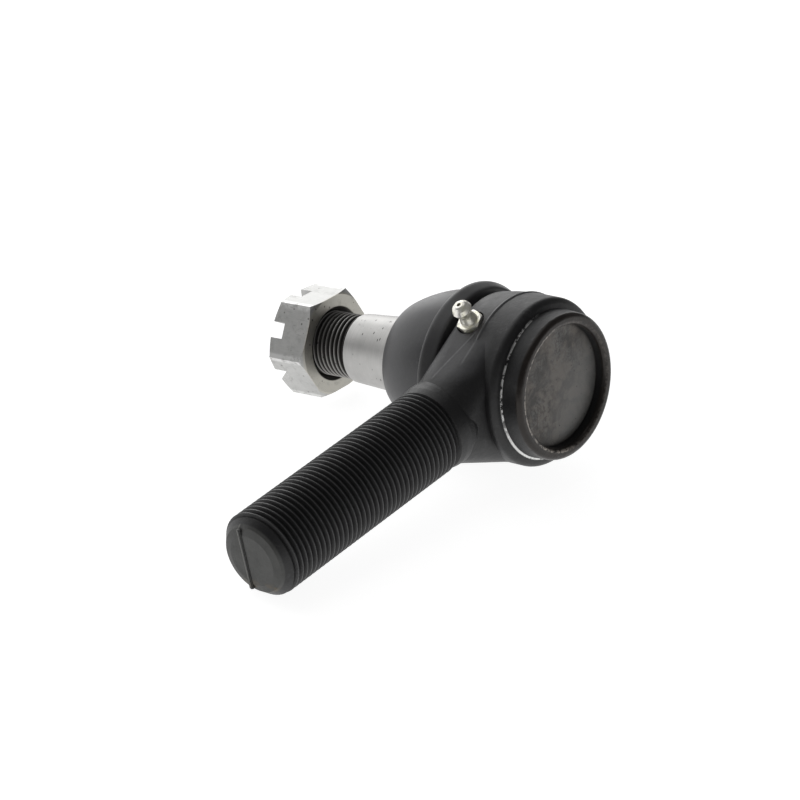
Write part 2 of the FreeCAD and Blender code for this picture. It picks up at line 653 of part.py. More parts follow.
def build_nut():
    """The slotted hexagon nut, part way down the stud's thread."""
    body = new_body("castle_nut")
    hexagon = new_sketch(body, "nut_hexagon", "XZ_Plane", "-nut_level - nut_height")
    corner = dim("nut_half_flats") / math.cos(math.pi / 6)
    spots = []
    for k in range(6):
        turn = math.radians(dim("nut_turn") + 60 * k)
        spots.append(FreeCAD.Vector(corner * math.sin(turn), corner * math.cos(turn), 0))
    for k in range(6):
        hexagon.addGeometry(Part.LineSegment(spots[k], spots[(k + 1) % 6]), False)
    pad = feature(body, "Pad", "nut_blank", hexagon)
    bind(pad, "Length", "nut_height")
    doc.recompute()
    trim = new_sketch(body, "nut_trim")
    top = "nut_level + nut_height"
    above = top + " + cut_over"
    outside = "nut_half_flats + cut_reach"
    inner = "nut_half_flats - nut_inset"
    outline(trim, [
        (inner, above), (inner, top),
        (inner + " + nut_chamfer * nut_slope", top + " - nut_chamfer"),
        (outside, top + " - nut_chamfer"), (outside, above)])
    spin(body, "Groove", "nut_top_corners", trim)
    low = new_sketch(body, "nut_low_trim")
    inner = "nut_half_flats + nut_outset"
    outline(low, [
        (inner, "nut_level - cut_over"), (outside, "nut_level - cut_over"),
        (outside, "nut_level + nut_chamfer"),
        (inner + " + nut_chamfer * nut_slope", "nut_level + nut_chamfer"),
        (inner, "nut_level")])
    spin(body, "Groove", "nut_low_corners", low)
    bore = new_sketch(body, "nut_bore_profile")
    outline(bore, [
        ("0", "nut_level - cut_over"), ("nut_sink", "nut_level - cut_over"),
        ("nut_sink", "nut_level"),
        ("nut_bore", "nut_level + nut_sink - nut_bore"),
        ("nut_bore", "%s - (nut_sink - nut_bore)" % top), ("nut_sink", top),
        ("nut_sink", above), ("0", above)])
    spin(body, "Groove", "nut_bore_cut", bore)
    cut_slots(body)
    around_y(body)


def cut_slots(body):
    """Cut the cotter slots through the middle of each pair of flats."""
    sketch = new_sketch(body, "slot_profile", "XZ_Plane", "-nut_level - nut_height")
    half, reach = dim("slot_width") / 2, 2 * dim("nut_half_flats")
    turn = math.radians(dim("nut_turn") + 30)
    along = FreeCAD.Vector(math.sin(turn), math.cos(turn), 0)
    aside = FreeCAD.Vector(along.y, -along.x, 0)
    corners = [along * u * reach + aside * w * half
               for u, w in ((-1, -1), (1, -1), (1, 1), (-1, 1))]
    for k in range(4):
        sketch.addGeometry(Part.LineSegment(corners[k], corners[(k + 1) % 4]), False)
    slot = feature(body, "Pocket", "slot", sketch)
    slot.Reversed = True
    bind(slot, "Length", "slot_depth")
    doc.recompute()
    around = body.newObject("PartDesign::PolarPattern", "slots")
    around.Originals = [slot]
    around.Axis = (sketch, ["N_Axis"])
    around.Angle = FULL_TURN
    around.Occurrences = 6
    body.Tip = around
    doc.recompute()


# ---------------------------------------------------------------- boot

def build_ring():
    """The thick ring at the boot's large end, which turns on the socket's boss."""
    turned("boot_seal_ring", [
        ("ring_bore", "ring_foot"), ("ring_foot_radius", "ring_foot"),
        ("ring_foot_radius + ring_chamfer", "ring_low"), ("ring_near - ring_chamfer", "ring_low"),
        ("ring_near", "ring_low + ring_chamfer"), ("ring_radius", "ring_wide_level - ring_edge"),
        ("ring_radius - ring_edge", "ring_wide_level + ring_edge"),
        ("ring_radius - ring_top_round", "ring_high"),
        ("ring_bore", "ring_high")])


def boot_section(body, name, radius, level, lean):
    """A circle across the stud at a level, leant with a share of the stud's lean."""
    sketch = circle_sketch(body, name, radius, "XZ_Plane")
    turn = math.radians(dim("stud_tilt") * lean)
    away = number(sketch, level)
    base = FreeCAD.Vector(-away * math.sin(turn), 0, -away * math.cos(turn))
    lean_back = FreeCAD.Rotation(FreeCAD.Vector(0, 1, 0), -math.degrees(turn))
    sketch.AttachmentOffset = FreeCAD.Placement(base, lean_back)
    return sketch


def build_boot():
    """The rubber dome from its ring to the sleeve that grips the stud."""
    body = new_body("dust_boot")
    grow = "(boot_base_radius - boot_shoulder_radius)"
    stages = [("boot_base_radius", "boot_base", 0.0),
              ("boot_base_radius - %g * %s" % (BOOT_SHRINK[0], grow),
               "boot_base + boot_low_rise", BOOT_LEAN[0]),
              ("boot_base_radius - %g * %s" % (BOOT_SHRINK[1], grow),
               "boot_base + boot_high_rise", BOOT_LEAN[1]),
              ("boot_shoulder_radius", "boot_shoulder", 1.0)]
    outer = [boot_section(body, "outer_%d" % k, *stage) for k, stage in enumerate(stages)]
    shell = feature(body, "AdditiveLoft", "boot_dome", outer[0])
    shell.Sections = outer[1:]
    doc.recompute()
    cap = [boot_section(body, "cap_low", "boot_shoulder_radius", "boot_shoulder", 1.0),
           boot_section(body, "cap_high", "boot_top_radius", "boot_top", 1.0)]
    shoulder = feature(body, "AdditiveLoft", "boot_shoulder", cap[0])
    shoulder.Sections = cap[1:]
    doc.recompute()
    hollow = [boot_section(body, "inner_%d" % k, "%s - boot_wall" % radius, level, lean)
              for k, (radius, level, lean) in enumerate(stages[:-1])]
    hollow.append(boot_section(body, "inner_top", "boot_shoulder_radius - boot_wall",
                               "boot_shoulder", 1.0))
    inside = feature(body, "SubtractiveLoft", "boot_hollow", hollow[0])
    inside.Sections = hollow[1:]
    doc.recompute()
    sleeve_axis = FreeCAD.Rotation(FreeCAD.Vector(0, 0, 1), dim("stud_tilt")).multiply(
        FreeCAD.Rotation(FreeCAD.Vector(1, 0, 0), -90))
    along = sleeve_axis.multVec(FreeCAD.Vector(0, 0, 1))
    sleeve = body.newObject("PartDesign::AdditiveCylinder", "sealing_sleeve")
    bind(sleeve, "Radius", "sleeve_radius")
    bind(sleeve, "Height", "boot_shoulder - sleeve_low + sleeve_overlap")
    sleeve.Placement = FreeCAD.Placement(along * dim("sleeve_low"), sleeve_axis)
    doc.recompute()
    drill(body, "stud_bore", "boot_bore", "boot_top - sleeve_low + 2 * drill_over",
          FreeCAD.Placement(along * (dim("sleeve_low") - dim("drill_over")), sleeve_axis))


def build_garter():
    """The round ring that holds the boot's sleeve to the stud."""
    body = new_body("boot_neck_ring")
    sketch = new_sketch(body, "garter_profile")
    middle = FreeCAD.Vector(dim("garter_radius"), dim("garter_level"), 0)
    circle = Part.Circle(middle, FreeCAD.Vector(0, 0, 1), dim("garter_wire"))
    row = sketch.addGeometry(circle, False)
    fix_point(sketch, row, 3, "garter_radius", "garter_level")
    spin(body, "Revolution", "garter_turned", sketch)
    around_y(body)


# ---------------------------------------------------------------- grease fitting

def build_fitting():
    """The straight grease fitting: threaded shank, hexagon and coupler head."""
    body = new_body("grease_fitting_body")
    sketch = new_sketch(body, "fitting_profile", "XZ_Plane")
    outline(sketch, [
        ("check_throat", "-fitting_depth"), ("fitting_thread - fitting_chamfer", "-fitting_depth"),
        ("fitting_thread", "-fitting_depth + fitting_chamfer"),
        ("fitting_thread", "hex_height - hex_overlap"), ("head_foot", "hex_height - hex_overlap"),
        ("head_foot", "hex_height + head_foot_rise"), ("head_neck", "head_neck_level"),
        ("head_neck", "head_neck_level + head_neck_width"),
        ("head_radius - head_edge", "head_low"), ("head_radius", "head_wide"),
        ("head_cone_radius", "head_cone"), ("head_dome_radius", "head_dome"),
        ("head_flat", "head_top"), ("orifice", "head_top"),
        ("orifice", "check_top + check_cone"), ("check_bore", "check_top - check_lead"),
        ("check_bore", "check_floor"), ("check_throat", "check_floor")])
    spin(body, "Revolution", "fitting_turned", sketch)
    hexagon = new_sketch(body, "fitting_hexagon", "XY_Plane")
    corner = dim("hex_half_flats") / math.cos(math.pi / 6)
    spots = []
    for k in range(6):
        turn = math.radians(60 * k + dim("fitting_turn"))
        spots.append(FreeCAD.Vector(corner * math.cos(turn), corner * math.sin(turn), 0))
    for k in range(6):
        hexagon.addGeometry(Part.LineSegment(spots[k], spots[(k + 1) % 6]), False)
    middle = FreeCAD.Vector(0, 0, 0)
    hole = Part.Circle(middle, FreeCAD.Vector(0, 0, 1), dim("head_neck"))
    hexagon.addGeometry(hole, False)
    pad = feature(body, "Pad", "fitting_hexagon_pad", hexagon)
    bind(pad, "Length", "hex_height")
    doc.recompute()
    trim = new_sketch(body, "fitting_hexagon_trim", "XZ_Plane")
    inner = "hex_half_flats - hex_overlap"
    outside = "hex_half_flats + drill_over"
    outline(trim, [
        (inner, "hex_height + hex_overlap"), (outside, "hex_height + hex_overlap"),
        (outside, "hex_height - hex_round"), (inner + " + hex_run", "hex_height - hex_round"),
        (inner, "hex_height")])
    spin(body, "Groove", "fitting_hexagon_corners", trim)
    body.Placement = fitting_placement(0)


def build_check_ball():
    """The ball that closes the fitting's orifice."""
    body = new_body("grease_check_ball")
    ball = body.newObject("PartDesign::AdditiveSphere", "check_sphere")
    bind(ball, "Radius", "check_ball")
    doc.recompute()
    body.Placement = fitting_placement(dim("check_level"))


def build_check_spring():
    """The coil spring under the check ball."""
    body = new_body("grease_check_spring")
    sketch = new_sketch(body, "wire_profile", "XZ_Plane")
    middle = FreeCAD.Vector(dim("check_coil"), 0, 0)
    circle = Part.Circle(middle, FreeCAD.Vector(0, 0, 1), dim("check_wire"))
    row = sketch.addGeometry(circle, False)
    fix_point(sketch, row, 3, "check_coil", "0")
    coil = feature(body, "AdditiveHelix", "coil", sketch)
    coil.ReferenceAxis = (sketch, ["V_Axis"])
    coil.Mode = "pitch-height-angle"
    bind(coil, "Pitch", "check_pitch")
    bind(coil, "Height", "check_length")
    coil.Angle = 0
    doc.recompute()
    body.Placement = fitting_placement(
        dim("check_floor") + dim("check_wire") + dim("check_clear"))


# ---------------------------------------------------------------- check and export

def check_shapes():
    """Stop if anything in the document failed or left a bad shape."""
    for item in doc.Objects:
        if "Invalid" in item.State or "Error" in item.State:
            raise RuntimeError("%s is %s" % (item.Name, item.State))
    for body in bodies():
        shape = body.Shape
        if shape.isNull() or not shape.isValid() or len(shape.Solids) != 1:
            raise RuntimeError("%s: null, not valid or not one solid" % body.Label)


def bodies():
    """Every body in the document."""
    return [item for item in doc.Objects if item.TypeId == "PartDesign::Body"]


def export():
    """Write each body to its own file."""
    os.makedirs(OUT_DIR, exist_ok=True)
    for body in bodies():
        body.Shape.exportStep("%s/%s.step" % (OUT_DIR, body.Label))


build_sheet()
build_housing()
build_upper_bearing()
build_pressure_seat()
build_spring()
build_cover()
build_stud()
build_nut()
build_ring()
build_boot()
build_garter()
build_fitting()
build_check_ball()
build_check_spring()
doc.recompute()
check_shapes()
export()
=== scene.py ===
"""Looks of a greaseable tie rod end: its finishes, its moulded dust boot and a small studio."""
import json
import math

import bpy
from mathutils import Euler, Matrix, Vector


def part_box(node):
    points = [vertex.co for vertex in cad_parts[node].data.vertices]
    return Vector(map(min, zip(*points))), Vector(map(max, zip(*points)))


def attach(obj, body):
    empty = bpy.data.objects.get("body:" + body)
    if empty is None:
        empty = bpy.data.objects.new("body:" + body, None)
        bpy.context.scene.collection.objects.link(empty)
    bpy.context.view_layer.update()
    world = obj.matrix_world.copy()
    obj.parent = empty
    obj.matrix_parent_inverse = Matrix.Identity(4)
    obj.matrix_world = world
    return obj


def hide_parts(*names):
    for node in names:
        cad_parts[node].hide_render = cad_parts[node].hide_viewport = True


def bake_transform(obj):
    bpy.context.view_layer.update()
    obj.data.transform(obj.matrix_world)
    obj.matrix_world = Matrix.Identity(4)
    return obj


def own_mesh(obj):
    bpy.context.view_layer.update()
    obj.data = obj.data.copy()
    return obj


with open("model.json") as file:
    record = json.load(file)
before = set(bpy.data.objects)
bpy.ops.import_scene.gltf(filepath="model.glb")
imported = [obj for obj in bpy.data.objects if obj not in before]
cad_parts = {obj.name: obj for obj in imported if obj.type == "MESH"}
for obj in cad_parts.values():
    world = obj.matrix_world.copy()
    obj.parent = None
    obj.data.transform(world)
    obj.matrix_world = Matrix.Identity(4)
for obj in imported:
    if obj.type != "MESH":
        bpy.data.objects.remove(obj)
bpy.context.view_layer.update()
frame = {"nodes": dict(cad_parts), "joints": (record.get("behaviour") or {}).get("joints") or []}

bl_info = {
    "name": "Tie rod end looks",
    "version": (1, 0, 0),
    "blender": (4, 5, 0),
    "location": "3D View > Sidebar > Tie rod end",
    "description": "Finishes, dust boot and studio of a greaseable tie rod end",
    "category": "Object",
}

MM = 0.001


def joint(name):
    """The record's joint of that name."""
    return next(j for j in frame["joints"] if j["name"] == name)


# Axes of the joints that the pieces follow, and the size of the grease fitting's coil spring.
STUD_AXIS = Vector(joint("stud_spin")["axis"]).normalized()
STUD_LEAN = math.atan2(-STUD_AXIS.x, STUD_AXIS.y)
FITTING_AXIS = -Vector(joint("check_open")["axis"]).normalized()
COIL_LENGTH, COIL_TURNS = 8.9 * MM, 8.48
COIL_RADIUS, COIL_WIRE = 0.85 * MM, 0.16 * MM

# Where the forging's features lie, in millimetres, for the finishes that follow them.
RIDGE_FALL = math.tan(math.radians(16.3))
RIDGE_LEVEL = 2.1 - 36.0 * RIDGE_FALL
THREAD_INNER, THREAD_OUTER = -41.6, -122.2
THREAD_CREST, THREAD_ROOT = 14.12, 13.55
TIP_START = -124.4
TIP_SEAM, TIP_SHADOW = 3.25, 2.2
COLLAR_FOOT, COLLAR_RADIUS = -18.45, 24.75
RIDGE_INNER, RIDGE_OUTER = -15.0, -37.0
BELT_LEVEL, BELT_RADIUS = -6.1, 27.9
RIM_LEVEL, RIM_RADIUS = -23.9, 20.0
LIP_LEVEL, LIP_RADIUS = -25.05, 21.3
COVER_EDGE = 20.0

# The stud's thread and the nut along the stud, and their radii, in millimetres.
STUD_THREAD_START, STUD_THREAD_END, STUD_ROOT = 59.9, 81.2, 10.85
NUT_FACE, NUT_BORE, NUT_CORNER = 72.45, 12.9, 18.5

# Roundness of the modelled pieces, and the gap under which points merge.
RUBBER_SEGMENTS = 72
SPRING_SEGMENTS = 96
WIRE_SEGMENTS = 10
STEPS_PER_TURN = 24
MERGE_GAP = 0.02 * MM
SMALLEST_TURN = 1e-9


# ---------------------------------------------------------------- shader maths

class Value:
    """One number of a finish that changes over the surface, for use in Python expressions."""

    def __init__(self, finish, socket):
        self.finish = finish
        self.socket = socket

    def math(self, operation, first, second=0.0):
        """A Math node on two numbers or values."""
        node = self.finish.node("ShaderNodeMath", {"operation": operation},
                                {0: first, 1: second})
        return Value(self.finish, node.outputs[0])

    def __add__(self, other):
        return self.math("ADD", self, other)

    def __sub__(self, other):
        return self.math("SUBTRACT", self, other)

    def __rsub__(self, other):
        return self.math("SUBTRACT", other, self)

    def __mul__(self, other):
        return self.math("MULTIPLY", self, other)

    def __abs__(self):
        return self.math("ABSOLUTE", self)

    __radd__ = __add__
    __rmul__ = __mul__

    def larger(self, other):
        """The larger of two values."""
        return self.math("MAXIMUM", self, other)

    def above(self, level, soft):
        """A mask that rises from 0 to 1 over a soft step centred on a level."""
        node = self.finish.node(
            "ShaderNodeMapRange", {"interpolation_type": "SMOOTHSTEP", "clamp": True},
            {"Value": self, "From Min": level - soft / 2, "From Max": level + soft / 2})
        return Value(self.finish, node.outputs[0])

    def below(self, level, soft):
        """A mask that falls from 1 to 0 over a soft step centred on a level."""
        return 1 - self.above(level, soft)

    def near(self, level, half, soft):
        """A mask of a stripe round a level."""
        return abs(self - level).below(half, soft)

    def spread(self, low, high):
        """The value from 0 to 1 stretched to run from low to high."""
        return self * (high - low) + low


class Finish:
    """A material on one Principled shader, with its patterns laid out in millimetres."""

    def __init__(self, name, metallic=0.0, fixed=None):
        self.material = bpy.data.materials.new(name)
        self.material.use_nodes = True
        self.tree = self.material.node_tree
        self.shader = next(n for n in self.tree.nodes if n.type == "BSDF_PRINCIPLED")
        self.shader.inputs["Metallic"].default_value = metallic
        for socket, value in (fixed or {}).items():
            self.shader.inputs[socket].default_value = value
        metres = self.node("ShaderNodeTexCoord").outputs["Object"]
        self.place = self.vector("MULTIPLY", metres, (1 / MM, 1 / MM, 1 / MM))
        split = self.node("ShaderNodeSeparateXYZ", None, {0: self.place})
        self.x, self.y, self.z = (Value(self, out) for out in split.outputs)

    def node(self, kind, settings=None, sockets=None):
        """A node of a type, with its settings and then its sockets' values or links."""
        made = self.tree.nodes.new(kind)
        for key, value in (settings or {}).items():
            setattr(made, key, value)
        for key, value in (sockets or {}).items():
            if isinstance(value, Value):
                value = value.socket
            if isinstance(value, bpy.types.NodeSocket):
                self.tree.links.new(value, made.inputs[key])
            else:
                made.inputs[key].default_value = value
        return made

    def vector(self, operation, first, second=(0.0, 0.0, 0.0)):
        """A Vector Math node that gives a vector."""
        made = self.node("ShaderNodeVectorMath", {"operation": operation},
                         {0: first, 1: second})
        return made.outputs["Vector"]

    def along(self, axis):
        """Distance along an axis through the ball centre."""
        made = self.node("ShaderNodeVectorMath", {"operation": "DOT_PRODUCT"},
                         {0: self.place, 1: tuple(axis)})
        return Value(self, made.outputs["Value"])

    def off_axis(self, axis):
        """Distance from an axis through the ball centre."""
        length = self.node("ShaderNodeVectorMath", {"operation": "LENGTH"},
                           {0: self.vector("CROSS_PRODUCT", self.place, tuple(axis))})
        return Value(self, length.outputs["Value"])

    def turned(self, spin, stretch):
        """The pattern space turned and stretched."""
        made = self.node("ShaderNodeMapping", {"vector_type": "POINT"},
                         {"Vector": self.place, "Rotation": Euler(spin), "Scale": stretch})
        return made.outputs[0]

    def noise(self, size, detail=3.0, rough=0.55, place=None, warp=0.0):
        """Soft noise from 0 to 1 whose blotches are about a size across."""
        made = self.node("ShaderNodeTexNoise", {"noise_dimensions": "3D"},
                         {"Vector": place or self.place, "Scale": 1 / size,
                          "Detail": detail, "Roughness": rough, "Distortion": warp})
        return Value(self, made.outputs["Fac"])

    def specks(self, size, place=None):
        """Distance to scattered points, in sizes."""
        made = self.node("ShaderNodeTexVoronoi", {"feature": "F1"},
                         {"Vector": place or self.place, "Scale": 1 / size,
                          "Randomness": 1.0})
        return Value(self, made.outputs["Distance"])

    def mix(self, mask, first, second):
        """One colour turning into another where a mask is 1."""
        made = self.node("ShaderNodeMix", {"data_type": "RGBA", "clamp_factor": True},
                         {"Factor": mask})
        for key, colour in ((6, first), (7, second)):
            if isinstance(colour, bpy.types.NodeSocket):
                self.tree.links.new(colour, made.inputs[key])
            else:
                made.inputs[key].default_value = (*tuple(colour)[:3], 1.0)
        return made.outputs[2]

    def shade(self, colour, factor):
        """A colour made darker or lighter by a value."""
        grey = self.node("ShaderNodeCombineXYZ", None, {0: factor, 1: factor, 2: factor})
        return self.vector("MULTIPLY", colour, grey.outputs[0])

    def bump(self, height, depth, normal=None):
        """A normal roughened by a height from 0 to 1 that is so many millimetres deep."""
        made = self.node("ShaderNodeBump", {}, {"Height": height, "Strength": 1.0,
                                                "Distance": depth * MM})
        if normal:
            self.tree.links.new(normal, made.inputs["Normal"])
        return made.outputs[0]

    def set(self, **channels):
        """Link what varies to the shader's own sockets."""
        for key, value in channels.items():
            socket = self.shader.inputs[key.replace("_", " ").title()]
            value = value.socket if isinstance(value, Value) else value
            self.tree.links.new(value, socket)
        return self.material


def dress(node_name, material):
    """Put one material on a carried-over piece."""
    mesh = frame["nodes"][node_name].data
    mesh.materials.clear()
    mesh.materials.append(material)


# ---------------------------------------------------------------- finishes

def painted_forging(colours):
    """Black paint over a forging: fine scale, worn threads, bare marks at the rolled collar."""
    f = Finish("painted_forging")
    off_shank = f.off_axis((1, 0, 0))
    off_socket = f.off_axis((0, 1, 0))
    cloud = f.noise(16, 3)
    grain = f.noise(0.9, 4, 0.6)
    dust = f.noise(0.28, 2)
    scale = f.noise(3.2, 5, 0.62)
    paint = f.shade(tuple(colours.paint), cloud.spread(0.7, 1.5) * dust.spread(0.55, 1.5))
    rub = f.noise(7, 5, 0.65).above(0.62, 0.12) * grain.above(0.5, 0.25)
    paint = f.mix(rub * 0.5, paint, colours.rubbed_paint)

    thread = f.x.below(THREAD_INNER, 0.5) * f.x.above(THREAD_OUTER, 0.6)
    crest = thread * off_shank.above(THREAD_CREST, 0.22)
    root = thread * off_shank.below(THREAD_ROOT, 0.5)
    paint = f.mix(crest * f.noise(2.4, 3).spread(0.35, 0.95), paint, colours.rubbed_paint)
    # Thread roots painted near-black: painted shade in the grooves.
    paint = f.mix(root * 0.8, paint, (0.004, 0.004, 0.0045))

    tip = f.x.below(TIP_START, 0.6)
    forged = f.mix(f.noise(5, 5, 0.65), (0.022, 0.022, 0.021), (0.075, 0.076, 0.072))
    wander = f.noise(3.0, 3).spread(-0.9, 0.9)
    # A light line along the tip's seam ridge is a painted highlight, with a painted shadow stripe
    # beside it.
    seam_highlight = (f.y + wander * 0.12).near(TIP_SEAM, 0.2, 0.3)
    shadow = (f.y + wander * 0.2).near(TIP_SHADOW, 0.5, 0.7)
    stain = f.noise(4.5, 3).above(0.55, 0.15) * f.z.below(-7.5, 3)
    forged = f.mix(stain * 0.35, forged, (0.13, 0.085, 0.03))
    forged = f.mix(shadow * 0.6, forged, (0.012, 0.012, 0.011))
    forged = f.mix(seam_highlight * 0.6, forged, (0.24, 0.235, 0.22))
    paint = f.mix(tip, paint, forged)

    low_side = f.z.below(-4.0, 12.0)
    foot = ((abs(f.y - COLLAR_FOOT) - low_side * 0.10).below(0.19, 0.14)
            * off_socket.near(COLLAR_RADIUS, 0.6, 0.3))
    dashes = f.noise(2.2, 4, 0.8).above(0.47, 0.06)
    broken = dashes.larger(low_side * f.noise(1.3, 4).above(0.36, 0.1))
    bare = foot * broken * f.x.below(-3.0, 10.0)
    # Light lines along the neck's parting ridge and the barrel's belt: painted highlights.
    ridge = (f.y + f.x * RIDGE_FALL).near(RIDGE_LEVEL, 0.35, 0.5) * off_shank.above(15.3, 0.8)
    ridge = ridge * f.x.below(RIDGE_INNER, 3.0) * f.x.above(RIDGE_OUTER, 2.0)
    belt = (f.y.near(BELT_LEVEL, 0.35, 0.5) * off_socket.above(BELT_RADIUS, 0.3)
            * f.x.above(-26.0, 3.0))
    parting_highlight = ridge.larger(belt) * f.noise(5, 4, 0.7).spread(0.25, 1.0)
    # The neck's top painted lighter: painted light falling from above.
    neck_top_light = f.z.above(15.5, 3.0) * f.x.below(-14.0, 8.0) * f.y.above(-11.5, 4.0)
    paint = f.mix(neck_top_light * f.noise(4, 4, 0.65).spread(0.3, 0.8), paint, (0.075, 0.075, 0.079))
    paint = f.mix(parting_highlight, paint, (0.14, 0.14, 0.145))
    rim = f.y.below(RIM_LEVEL, 0.9) * off_socket.above(RIM_RADIUS, 0.5)
    rim_tone = f.mix(f.noise(4, 4, 0.6), (0.007, 0.006, 0.005), (0.030, 0.022, 0.017))
    paint = f.mix(rim * 0.85, paint, rim_tone)
    lip = (f.y.below(LIP_LEVEL, 0.5) * off_socket.near(LIP_RADIUS, 0.5, 0.5)
           * f.noise(1.6, 4, 0.7).above(0.5, 0.12))
    lip = lip * (f.x.below(-2.0, 8.0) * 0.8 + 0.12)
    paint = f.mix(lip * 0.8, paint, (0.42, 0.38, 0.34))
    paint = f.mix(bare, paint, (0.80, 0.80, 0.79))

    rough = scale.spread(0.38, 0.56) + crest * -0.06 + root * 0.2 + tip * 0.08 + rim * -0.16
    metal = bare.larger(lip * 0.7).larger(rim * 0.35)
    height = f.bump(scale, 0.13)
    height = f.bump(grain, 0.05, height)
    height = f.bump(dust, 0.008, height)
    return f.set(base_color=paint, roughness=rough, metallic=metal, normal=height)


def stained_cover(colours):
    """The pressed cover: dark, oily steel with brown mottling, scuffs and a lighter middle, a
    painted reflection at the lower right and painted shade round its edge.
    """
    f = Finish("stained_cover")
    blotch = f.noise(6.5, 5, 0.62, warp=0.6)
    fine = f.noise(0.8, 5, 0.7)
    tone = f.mix(blotch.above(0.5, 0.22), colours.cover_dark, colours.cover_brown)
    scuff = f.noise(9, 4, 0.6).above(0.52, 0.2) * fine.above(0.5, 0.2)
    # A lighter patch round the middle of the cover.
    middle = f.off_axis((0, 1, 0)).below(9.0, 11.0) * f.noise(5, 4, 0.6).spread(0.3, 1.0)
    tone = f.mix(scuff.larger(middle * 0.5) * 0.6, tone, (0.20, 0.20, 0.195))
    smear = f.noise(3.4, 5, 0.7, warp=1.2).above(0.56, 0.1) * f.x.below(-1.0, 10.0)
    tone = f.mix(smear * 0.55, tone, (0.030, 0.025, 0.020))
    # The lower right of the cover painted lighter: a painted reflection of the floor.
    painted_reflection = (f.x * 0.7 - f.z * 0.7).above(6.0, 16.0)
    tone = f.mix(painted_reflection * 0.6, tone, (0.19, 0.19, 0.185))
    # Darker round the cover's edge in the shelter of the rim: painted shade.
    edge = f.off_axis((0, 1, 0)).above(COVER_EDGE, 0.9)
    tone = f.mix(edge * 0.6, tone, (0.02, 0.017, 0.015))
    pit = f.specks(2.2).below(0.13, 0.06) * f.noise(7, 2).above(0.5, 0.1)
    tone = f.mix(pit * 0.6, tone, (0.008, 0.007, 0.006))
    rough = blotch.spread(0.36, 0.6) + scuff * 0.08
    height = f.bump(f.noise(4.5, 4), 0.16)
    height = f.bump(fine, 0.035, height)
    return f.set(base_color=tone, roughness=rough, metallic=scuff.spread(0.25, 0.6),
                 normal=height)


def ground_stud(colours):
    """Bare ground steel with fine rings and small dark nicks; a darker thread with painted shade
    in its roots.
    """
    f = Finish("ground_stud", metallic=1.0)
    lean = (0.0, 0.0, -STUD_LEAN)
    level = f.along(STUD_AXIS)
    off_stud = f.off_axis(STUD_AXIS)
    rings = f.noise(0.5, 3, 0.6, f.turned(lean, (0.02, 3.0, 0.02)))
    cloud = f.noise(7, 4, 0.6)
    steel = f.shade(tuple(colours.bare_steel), cloud.spread(0.70, 1.12) * rings.spread(0.80, 1.16))
    nick_place = f.turned(lean, (1.0, 2.6, 1.0))
    nick = (f.specks(3.4, nick_place).below(0.15, 0.06)
            * f.noise(6, 2).above(0.46, 0.1))
    scratch_place = f.turned((0.3, 0.5, 0.2), (2.4, 0.12, 2.4))
    scratch = f.noise(1.0, 2, 0.5, scratch_place).above(0.76, 0.03)
    steel = f.mix(nick.larger(scratch * 0.6) * 0.85, steel, (0.045, 0.042, 0.04))
    thread = level.above(STUD_THREAD_START, 0.4) * level.below(STUD_THREAD_END, 0.6)
    # Thread roots painted near-black: painted shade in the grooves.
    root = thread * off_stud.below(STUD_ROOT, 0.5)
    steel = f.mix(thread * 0.35, steel, (0.16, 0.15, 0.14))
    steel = f.mix(root * 0.9, steel, (0.03, 0.028, 0.026))
    rough = rings.spread(0.34, 0.48) + cloud * 0.08 + root * 0.2
    height = f.bump(rings, 0.010)
    height = f.bump(1 - nick, 0.05, height)
    return f.set(base_color=steel, roughness=rough, normal=height)


def brushed_nut(colours):
    """Pale brushed steel nut: drawn flats, soft edges, a faintly yellow face and painted shade in
    its threads.
    """
    f = Finish("brushed_nut", metallic=1.0)
    lean = (0.0, 0.0, -STUD_LEAN)
    level = f.along(STUD_AXIS)
    off_stud = f.off_axis(STUD_AXIS)
    drawn = f.noise(0.45, 4, 0.6, f.turned(lean, (2.4, 0.10, 2.4)))
    cloud = f.noise(5.5, 4, 0.6)
    steel = f.shade(tuple(colours.nut_steel), drawn.spread(0.80, 1.15) * cloud.spread(0.82, 1.12))
    face = level.below(NUT_FACE, 0.3)
    steel = f.mix(face * cloud.spread(0.25, 0.6), steel, (0.52, 0.49, 0.40))
    # The bore painted dark: painted shade inside the nut.
    inside = off_stud.below(NUT_BORE, 0.7)
    steel = f.mix(inside * 0.85, steel, (0.07, 0.065, 0.06))
    corner = off_stud.above(NUT_CORNER, 0.5)
    steel = f.mix(corner * f.noise(2, 3).above(0.42, 0.2) * 0.6, steel, (0.80, 0.80, 0.79))
    dent = f.specks(3.0).below(0.12, 0.05) * f.noise(9, 2).above(0.47, 0.1)
    score_place = f.turned((0.5, 0.9, 0.3), (2.6, 0.14, 2.6))
    score = f.noise(0.9, 2, 0.5, score_place).above(0.70, 0.05)
    grime_and_shade = f.noise(3.2, 5, 0.7).above(0.58, 0.12) * drawn.above(0.5, 0.3)
    marks = dent.larger(score * 0.6).larger(grime_and_shade * 0.45)
    steel = f.mix(marks * 0.75, steel, (0.10, 0.095, 0.09))
    rough = drawn.spread(0.36, 0.50) + face * 0.06
    height = f.bump(drawn, 0.012)
    height = f.bump(f.noise(2.2, 4), 0.05, height)
    return f.set(base_color=steel, roughness=rough, normal=height)


def plated_fitting(colours):
    """Bright zinc plating with a warm passivated cast and a few dull spots."""
    f = Finish("plated_fitting", metallic=0.7)
    cast = f.noise(2.6, 4, 0.6)
    plate = f.mix(cast.above(0.5, 0.4), colours.zinc, colours.zinc_warm)
    dull = f.noise(0.9, 4, 0.65).above(0.60, 0.1)
    plate = f.mix(dull * 0.5, plate, (0.30, 0.29, 0.24))
    rough = f.noise(0.8, 3).spread(0.24, 0.38) + dull * 0.2
    height = f.bump(f.noise(0.7, 3), 0.02)
    return f.set(base_color=plate, roughness=rough, normal=height)


